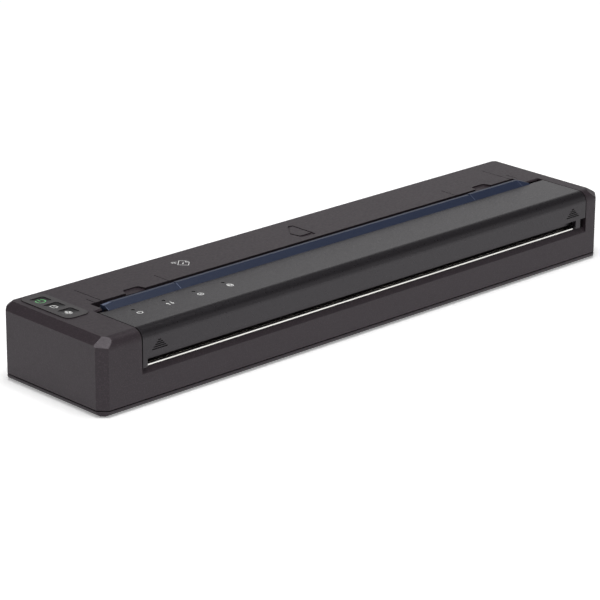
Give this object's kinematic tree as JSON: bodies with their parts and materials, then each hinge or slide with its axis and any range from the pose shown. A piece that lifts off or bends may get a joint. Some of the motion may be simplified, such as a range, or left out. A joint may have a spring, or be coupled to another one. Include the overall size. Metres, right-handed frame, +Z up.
{
  "type": "portable thermal printer",
  "caption": "Slim portable thermal printer for A4 sheets, with a hinged release cover over the print mechanism, a raised paper mouth, push buttons and a battery door.",
  "frame": {"origin": "centre of the bounding box on the surface that the feet stand on", "axes": "+X along the case to the right as seen from the front, -Y the front with the exit slot, +Z up"},
  "size_m": [0.255, 0.055, 0.03],
  "materials": {
    "case_plastic": "fine-textured charcoal plastic",
    "cover_plastic": "fine-textured charcoal plastic",
    "ridge_plastic": "satin navy plastic",
    "bezel_plastic": "satin dark grey plastic",
    "button_plastic": "satin black plastic",
    "black_plastic": "matte black plastic",
    "gear_plastic": "natural acetal",
    "lens_plastic": "smoked clear plastic",
    "circuit_board": "green solder mask",
    "chip_black": "moulded epoxy",
    "battery_wrap": "shrink sleeve",
    "foot_rubber": "matte rubber",
    "platen_rubber": "ground rubber",
    "steel": "turned steel",
    "bright_steel": "bright rolled steel",
    "zinc_plate": "zinc-plated sheet",
    "aluminium": "extruded aluminium",
    "head_ceramic": "glazed ceramic",
    "brass": "plain brass",
    "marking_ink": "white pad print"
  },
  "bodies": {
    "case": {"lower_case": "case_plastic", "upper_case": "case_plastic", "rubber_feet": "foot_rubber", "case_screws": "steel", "tear_bar": "bright_steel", "left_side_plate": "zinc_plate", "right_side_plate": "zinc_plate", "platen_bushings": "black_plastic", "chassis_screws": "steel", "gear_axle": "steel", "gear_clip": "steel", "motor_body": "zinc_plate", "paper_guide": "black_plastic", "paper_sensor": "black_plastic", "main_board": "circuit_board", "board_parts": "chip_black", "board_screws": "steel", "port_board": "circuit_board", "usb_socket": "bright_steel", "power_jack": "black_plastic", "battery_stick": "battery_wrap", "battery_caps": "black_plastic", "battery_contacts": "brass", "door_pin": "steel", "button_bezel": "bezel_plastic", "button_board": "circuit_board", "button_switches": "bright_steel", "cover_hinge_pins": "steel"},
    "cover": {"release_cover": "cover_plastic", "inlet_ridge": "ridge_plastic", "indicator_lenses": "lens_plastic", "indicator_board": "circuit_board", "head_pivot_pins": "steel", "head_springs": "steel"},
    "print_head": {"head_bracket": "zinc_plate", "heat_sink": "aluminium", "thermal_head": "head_ceramic"},
    "platen": {"platen_shaft": "steel", "platen_rubber": "platen_rubber", "platen_gear": "gear_plastic", "platen_clips": "steel"},
    "reduction": {"reduction_gear": "gear_plastic"},
    "rotor": {"motor_shaft": "steel", "motor_pinion": "brass"},
    "door": {"battery_door": "case_plastic"},
    "power_key": {"power_button": "button_plastic"},
    "feed_key": {"feed_button": "button_plastic"},
    "wireless_key": {"wireless_button": "button_plastic"}
  },
  "joints": [
    {"name": "cover_hinge", "type": "hinge", "parent": "case", "child": "cover", "pos_m": [0, -0.003, 0.0258], "axis": [-1, 0, 0], "range_deg": [0, 65]},
    {"name": "head_pivot", "type": "hinge", "parent": "cover", "child": "print_head", "pos_m": [0, -0.0105, 0.0226], "axis": [-1, 0, 0], "range_deg": [0, 4], "stiffness_Nm_per_rad": 1, "springref_deg": -2.86, "deforming": ["head_springs"]},
    {"name": "platen_spin", "type": "hinge", "parent": "case", "child": "platen", "pos_m": [0, -0.0162, 0.0099], "axis": [1, 0, 0], "continuous": true},
    {"name": "reduction_spin", "type": "hinge", "parent": "case", "child": "reduction", "pos_m": [0, -0.00719, 0.01291], "axis": [1, 0, 0], "continuous": true},
    {"name": "motor_spin", "type": "hinge", "parent": "case", "child": "rotor", "pos_m": [0, 0.00382, 0.00961], "axis": [1, 0, 0], "continuous": true},
    {"name": "door_hinge", "type": "hinge", "parent": "case", "child": "door", "pos_m": [0.1263, 0.0046, 0.0146], "axis": [0, 0, -1], "range_deg": [0, 100]},
    {"name": "power_key_press", "type": "slide", "parent": "case", "child": "power_key", "axis": [0, 0, -1], "range_m": [0, 0.0005], "stiffness_N_per_m": 2000},
    {"name": "feed_key_press", "type": "slide", "parent": "case", "child": "feed_key", "axis": [0, 0, -1], "range_m": [0, 0.0005], "stiffness_N_per_m": 2000},
    {"name": "wireless_key_press", "type": "slide", "parent": "case", "child": "wireless_key", "axis": [0, 0, -1], "range_m": [0, 0.0005], "stiffness_N_per_m": 2000}
  ],
  "couplings": [
    {"joint": "reduction_spin", "follows": "platen_spin", "ratio": -1.7143},
    {"joint": "motor_spin", "follows": "platen_spin", "ratio": 4.8571}
  ]
}
